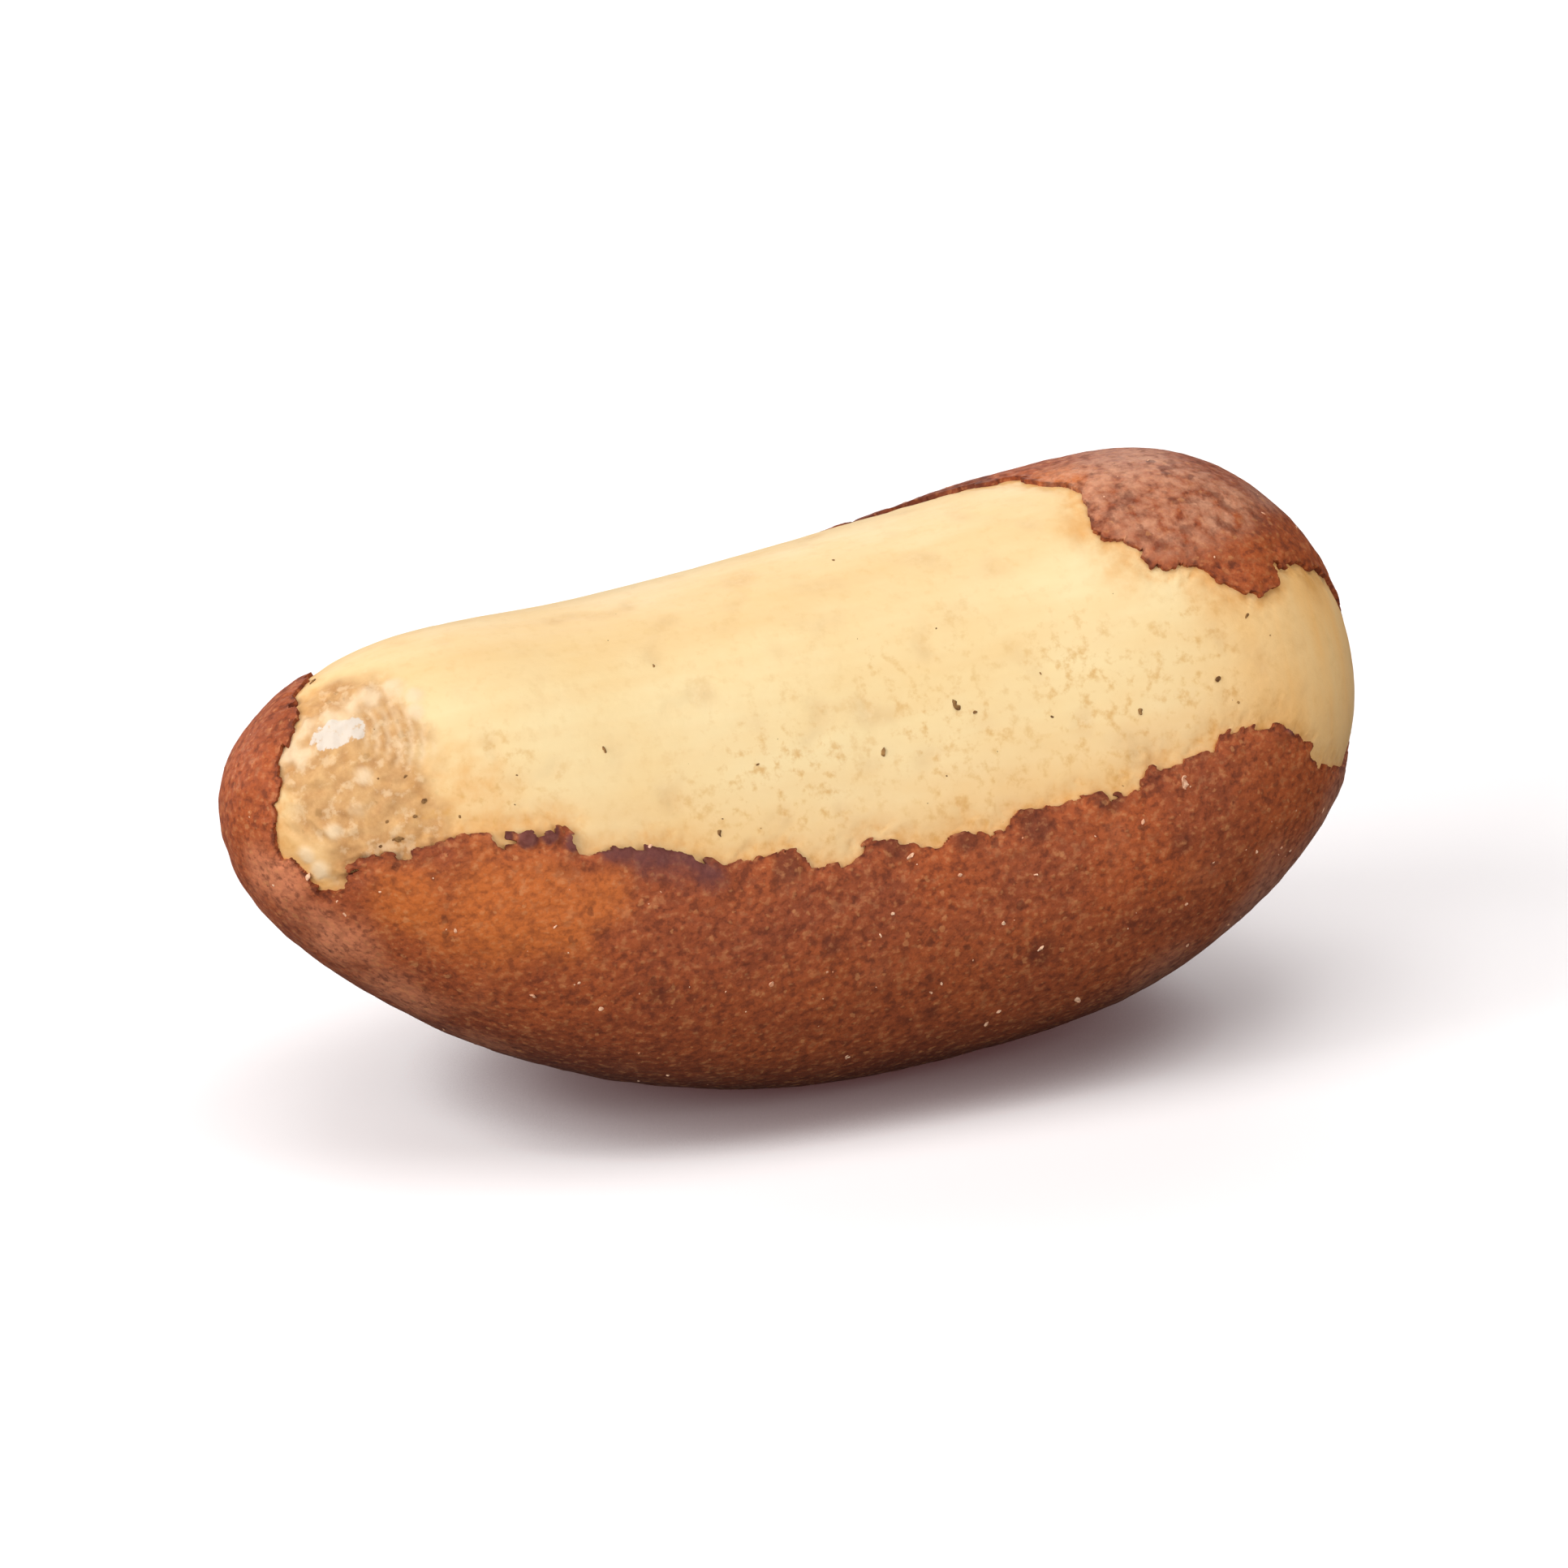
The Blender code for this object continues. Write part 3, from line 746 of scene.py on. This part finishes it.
pale_specks = use(tree, specks, Spacing=0.4, Share=0.3, Size=0.34)
colour = over(tree, part_of(tree, 0.45, pale_specks), colour, GRAIN_PALE)
dark_specks = use(tree, specks, Spacing=0.6, Share=0.22, Size=0.33)
colour = over(tree, part_of(tree, 0.45, dark_specks), colour, GRAIN_DARK)
# Painted shade: the curled edges are drawn dark, as the shade under them.
colour = over(tree, remap(tree, reading(tree, "curl_with_shade"), 0.15, 0.7, 0.0, 0.85), colour, CURL_SHADE)
rim_share = maths(tree, "MULTIPLY", remap(tree, reading(tree, "edge_mm"), 0.16, 0.02), freckle)
colour = over(tree, part_of(tree, 0.7, rim_share), colour, SKIN_DEEP)
tree.links.new(colour, shader.inputs["Base Color"])
tree.links.new(remap(tree, freckle, 0.0, 1.0, 0.5, 0.7), shader.inputs["Roughness"])
bump = add(tree, "ShaderNodeBump", {"Height": leather, "Distance": 0.03 * METRE, "Strength": 0.8})
tree.links.new(bump.outputs[0], shader.inputs["Normal"])
skin.data.materials.append(brown)
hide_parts("kernel")
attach(skin, "root")


# Dust and crumbs
# Cracking the hard shell leaves its dust on the nut: dark angular bits of shell stuck to the oily flesh, and
# pale crumbs of flesh caught in the skin. Those that show are put where they lie, the finest are scattered.
# Each is given along the nut, round it, and by its size.

DARK_BITS = [
    (-15.4, 80, 0.2), (3.3, 139, 0.28), (3.8, 141.5, 0.13), (11.6, 152.5, 0.17), (8.9, 153.2, 0.16),
    (0.7, 145.5, 0.18), (-8.1, 134.2, 0.18), (-5.1, 157.5, 0.2), (-14.9, 165.5, 0.26), (-14.0, 150.5, 0.18),
    (13.1, 141, 0.12), (1.5, 96.5, 0.11), (-5.6, 113.5, 0.1), (6.2, 137, 0.08), (6.2, 147, 0.09),
    (-3.4, 141.5, 0.08), (12.1, 160, 0.1), (-11.1, 141.5, 0.08), (3.4, 120.5, 0.07), (-14.3, 156, 0.12),
    (-15.1, 159.5, 0.1), (-14.4, 142, 0.1), (-15.4, 170, 0.1), (-13.1, 155.5, 0.08),
]
PALE_CRUMBS = [
    (9.9, 172, 0.3), (0.8, 170, 0.2), (3.6, 189, 0.18), (6.6, 213.5, 0.22), (-1.0, 216, 0.22),
    (-11.2, 204.5, 0.2), (-9.2, 204, 0.14), (4.9, 197, 0.16), (-0.6, 185, 0.1), (8.2, 176, 0.12),
    (3.4, 214, 0.16), (3.9, 211, 0.14), (12.4, 196, 0.13), (-17.0, 193, 0.2), (15.2, 204, 0.12),
    (-10, 197.5, 0.09),
]

dusting = bpy.data.node_groups.new("stuck_grains", "GeometryNodeTree")
GRAIN_INPUTS = {"Surface": "Geometry", "Density": "Float", "Smallest": "Float", "Largest": "Float",
                "Flatness": "Float", "Seed": "Int", "Material": "Material"}
for socket_name, kind in GRAIN_INPUTS.items():
    dusting.interface.new_socket(name=socket_name, in_out="INPUT", socket_type="NodeSocket" + kind)
dusting.interface.new_socket(name="Grains", in_out="OUTPUT", socket_type="NodeSocketGeometry")
ins = add(dusting, "NodeGroupInput").outputs


def mesh_value(name, kind="FLOAT"):
    value = add(dusting, "GeometryNodeInputNamedAttribute", {"Name": name}, data_type=kind)
    return value.outputs["Attribute"]


def kept_as(geometry, name, value, kind="FLOAT"):
    """The geometry with a value stored on each of its points."""
    inputs = {"Geometry": geometry, "Name": name, "Value": value}
    return add(dusting, "GeometryNodeStoreNamedAttribute", inputs, data_type=kind).outputs[0]


def random_value(low, high, shift):
    seed = maths(dusting, "ADD", ins["Seed"], shift)
    drawn = add(dusting, "FunctionNodeRandomValue", {2: low, 3: high, 8: seed}, data_type="FLOAT")
    return drawn.outputs[1]


# The scattered grains lie thickest where the surface's own dustiness is high, and most of them are small
thickness = maths(dusting, "MULTIPLY", ins["Density"], mesh_value("grain_share"))
scattered = add(dusting, "GeometryNodeDistributePointsOnFaces", {
    "Mesh": ins["Surface"], "Density": thickness, "Seed": ins["Seed"]})
draw = maths(dusting, "POWER", random_value(0.0, 1.0, 1), 3.0)
spread = maths(dusting, "SUBTRACT", ins["Largest"], ins["Smallest"])
size = maths(dusting, "MULTIPLY_ADD", draw, spread, ins["Smallest"])
loose = kept_as(scattered.outputs["Points"], "facing", scattered.outputs["Normal"], "FLOAT_VECTOR")
loose = kept_as(loose, "size", size)
# The placed grains stand on the points that carry a size
turned = kept_as(ins["Surface"], "facing", add(dusting, "GeometryNodeInputNormal").outputs[0], "FLOAT_VECTOR")
placed_size = mesh_value("placed_size")
placed = add(dusting, "GeometryNodeMeshToPoints", {
    "Mesh": turned, "Selection": maths(dusting, "GREATER_THAN", placed_size, 0.0)}).outputs[0]
placed = kept_as(placed, "size", placed_size)

grain_sets = []
for points, fineness, shift in ((loose, 1, 2), (placed, 2, 6)):
    ball = add(dusting, "GeometryNodeMeshIcoSphere", {"Radius": 0.5, "Subdivisions": fineness})
    facing = mesh_value("facing", "FLOAT_VECTOR")
    upright = add(dusting, "FunctionNodeAlignRotationToVector", {"Vector": facing})
    upright.axis = "Z"
    spin = add(dusting, "ShaderNodeCombineXYZ", {2: random_value(0.0, 6.283, shift)}).outputs[0]
    spin = add(dusting, "FunctionNodeEulerToRotation", {0: spin}).outputs[0]
    turns = {0: upright.outputs[0], 1: spin}
    turn = add(dusting, "FunctionNodeRotateRotation", turns, rotation_space="LOCAL").outputs[0]
    length = maths(dusting, "MULTIPLY", mesh_value("size"), random_value(0.9, 1.6, shift + 1))
    width = maths(dusting, "MULTIPLY", mesh_value("size"), random_value(0.6, 1.0, shift + 2))
    height = maths(dusting, "MULTIPLY", mesh_value("size"), ins["Flatness"])
    scale = add(dusting, "ShaderNodeCombineXYZ", {0: length, 1: width, 2: height}).outputs[0]
    grain_sets.append(add(dusting, "GeometryNodeInstanceOnPoints", {
        "Points": points, "Instance": ball.outputs["Mesh"], "Rotation": turn, "Scale": scale}).outputs[0])
together = add(dusting, "GeometryNodeJoinGeometry")
for grain_set in grain_sets:
    dusting.links.new(grain_set, together.inputs[0])
whole = add(dusting, "GeometryNodeRealizeInstances", {"Geometry": together.outputs[0]}).outputs[0]
# Every grain is bent out of shape by as much as it is large
BEND_WIDTH = 1 / 6                           # millimetres
bend = add(dusting, "ShaderNodeTexNoise", {"Scale": 1 / (BEND_WIDTH * METRE), "Detail": 1.0}).outputs["Color"]
bend = add(dusting, "ShaderNodeVectorMath", {0: bend, 1: (0.5, 0.5, 0.5)}, operation="SUBTRACT").outputs[0]
by_size = {0: bend, "Scale": mesh_value("size")}
bend = add(dusting, "ShaderNodeVectorMath", by_size, operation="SCALE").outputs[0]
whole = add(dusting, "GeometryNodeSetPosition", {"Geometry": whole, "Offset": bend}).outputs[0]
whole = add(dusting, "GeometryNodeSetShadeSmooth", {"Geometry": whole, "Shade Smooth": False}).outputs[0]
whole = add(dusting, "GeometryNodeSetMaterial", {"Geometry": whole, "Material": ins["Material"]}).outputs[0]
add(dusting, "NodeGroupOutput", {"Grains": whole})


TOO_FAR = 9.0                                # added to the distance of points where no grain may be put


def grains_on(carrier, name, share, body, allowed, places, **values):
    """A piece of grains stuck to the carrier: scattered by share, and put at (along, angle, size)."""
    placed_size = np.zeros(len(share))
    for x, angle, size in places:
        spot = surface(np.arccos(-x / (LENGTH / 2)), np.radians(angle))
        away = np.linalg.norm(body - spot, axis=1) + TOO_FAR * ~allowed[:len(body)]
        placed_size[away.argmin()] = size * METRE
    carrier_copy = bpy.data.objects.new(name + "_carrier", carrier.data.copy())
    bpy.context.scene.collection.objects.link(carrier_copy)
    set_attributes(carrier_copy.data, grain_share=share, placed_size=placed_size)
    modifier = carrier_copy.modifiers.new("grains", "NODES")
    modifier.node_group = dusting
    sockets = {item.name: item.identifier for item in dusting.interface.items_tree if item.in_out == "INPUT"}
    for socket, value in values.items():
        modifier[sockets[socket]] = value
    evaluated = carrier_copy.evaluated_get(bpy.context.evaluated_depsgraph_get())
    mesh = bpy.data.meshes.new_from_object(evaluated)
    bpy.data.objects.remove(carrier_copy, do_unlink=True)
    mesh.name = name
    piece = bpy.data.objects.new(name, mesh)
    bpy.context.scene.collection.objects.link(piece)
    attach(piece, "root")
    return piece


SHELL_DARK = srgb(94, 58, 28)
SHELL_BROWN = srgb(160, 118, 66)
CRUMB_TAN = srgb(208, 134, 94)
CRUMB_PALE = srgb(246, 206, 172)

shell_bits, tree, shader = new_material("shell_dust", Specular_IOR_Level=0.3, Roughness=0.7)
colour = over(tree, use(tree, clouds, Width=0.25, Contrast=3.0), SHELL_DARK, SHELL_BROWN)
tree.links.new(colour, shader.inputs["Base Color"])
crumb_finish, tree, shader = new_material("pale_crumb", Specular_IOR_Level=0.35, Roughness=0.55)
colour = over(tree, use(tree, clouds, Width=0.3, Contrast=3.0), CRUMB_TAN, CRUMB_PALE)
tree.links.new(colour, shader.inputs["Base Color"])

shell_share = flesh_bare * (0.15 + 0.85 * dusty + 0.5 * scuff)
grains_on(flesh, "shell_dust", shell_share, flesh_body, flesh_bare, DARK_BITS, Density=0.16 / METRE**2,
          Smallest=0.03 * METRE, Largest=0.09 * METRE, Flatness=0.4, Seed=4, Material=shell_bits)
outside = np.repeat([True, False], len(skin_body))
crumb_share = outside * (0.25 + 0.75 * np.tile(smooth_step(np.abs(on_skin - 2.5), 2.5, 0.5), 2))
grains_on(skin, "crumbs", crumb_share, skin_body, outside, PALE_CRUMBS, Density=0.3 / METRE**2,
          Smallest=0.05 * METRE, Largest=0.16 * METRE, Flatness=0.45, Seed=9, Material=crumb_finish)


# The table, the light and the camera
# A plain white table, which throws little of its light back up. A shadow is painted into its colour close
# under the nut, with a faint red glow painted into that shade. Seven large soft lamps light it: the strongest
# in front on the left, the others round the nut and above it. The camera looks down at the bare face.

table_mesh = bpy.data.meshes.new("table")
builder = bmesh.new()
TABLE_HALF_WIDTH = 1.5                       # metres
bmesh.ops.create_grid(builder, x_segments=1, y_segments=1, size=TABLE_HALF_WIDTH)
builder.to_mesh(table_mesh)
builder.free()
table = bpy.data.objects.new("table", table_mesh)
bpy.context.scene.collection.objects.link(table)
TABLE_WHITE = (1.0, 1.0, 1.0)
TABLE_BOUNCE = (0.2, 0.2, 0.2)
TABLE_SHADED = (0.5, 0.46, 0.46)
# A faint red glow, seen only by the camera, painted into the table's shade.
SHADOW_TINT = (0.038, 0.0, 0.0)
SHADED_REACH = 3.0 * METRE
MOST_OPEN = 0.8                              # the shade begins below this openness and is full at the least
LEAST_OPEN = 0.2
white, tree, shader = new_material(
    "white_table", Roughness=0.9, Specular_IOR_Level=0.0, Emission_Strength=1.0)
seen = add(tree, "ShaderNodeLightPath").outputs["Is Camera Ray"]
# Painted shadow: the table's colour darkens where the nut is close above it.
openness = add(tree, "ShaderNodeAmbientOcclusion", {"Distance": SHADED_REACH}, samples=4).outputs["AO"]
table_colour = over(tree, remap(tree, openness, MOST_OPEN, LEAST_OPEN), TABLE_WHITE, TABLE_SHADED)
tree.links.new(over(tree, seen, TABLE_BOUNCE, table_colour), shader.inputs["Base Color"])
tree.links.new(over(tree, seen, (0.0, 0.0, 0.0), SHADOW_TINT), shader.inputs["Emission Color"])
table_mesh.materials.append(white)

CAMERA_AZIMUTH = -26.0
CAMERA_ELEVATION = 20.0
CAMERA_LENS = 400.0
SENSOR = 36.0
NEAREST, FARTHEST = 0.01, 10.0               # metres
VIEW_WIDTH = 47.6 * METRE
VIEW_CENTRE = Vector((0.4, 0.0, 8.42)) * METRE


def towards(azimuth, elevation):
    """The direction from the nut to something at that azimuth and elevation."""
    a, e = math.radians(azimuth), math.radians(elevation)
    return Vector((math.sin(a) * math.cos(e), -math.cos(a) * math.cos(e), math.sin(e)))


def aimed(thing, azimuth, elevation, distance, target):
    thing.location = target + towards(azimuth, elevation) * distance
    thing.rotation_euler = towards(azimuth, elevation).to_track_quat("Z", "Y").to_euler()
    bpy.context.scene.collection.objects.link(thing)


camera = bpy.data.objects.new("camera", bpy.data.cameras.new("camera"))
camera.data.lens = CAMERA_LENS
camera.data.sensor_width = SENSOR
camera.data.clip_start, camera.data.clip_end = NEAREST, FARTHEST
aimed(camera, CAMERA_AZIMUTH, CAMERA_ELEVATION, VIEW_WIDTH * CAMERA_LENS / SENSOR, VIEW_CENTRE)
bpy.context.scene.camera = camera

# Each lamp's azimuth, elevation, width in metres and power in watts
LAMPS = {
    "front_left": (-66, 18, 0.3, 1.3), "left": (-91, 40, 0.15, 0.39), "back_left": (-146, 18, 0.3, 0.77),
    "behind": (154, 30, 0.3, 0.53), "right": (64, 65, 0.3, 0.35), "front_right": (14, 18, 0.3, 0.72),
    "above": (-26, 85, 0.3, 0.51),
}
LAMP_DISTANCE = 0.4
for name, (azimuth, elevation, size, watts) in LAMPS.items():
    lamp = bpy.data.objects.new(name, bpy.data.lights.new(name, "AREA"))
    lamp.data.size = size
    lamp.data.energy = watts
    aimed(lamp, azimuth, elevation, LAMP_DISTANCE, VIEW_CENTRE)

WORLD_LIGHT = 0.005
world = bpy.data.worlds.new("studio")
world.use_nodes = True
world.node_tree.nodes["Background"].inputs["Color"].default_value = (1, 1, 1, 1)
world.node_tree.nodes["Background"].inputs["Strength"].default_value = WORLD_LIGHT
bpy.context.scene.world = world
bpy.context.scene.view_settings.view_transform = "Standard"
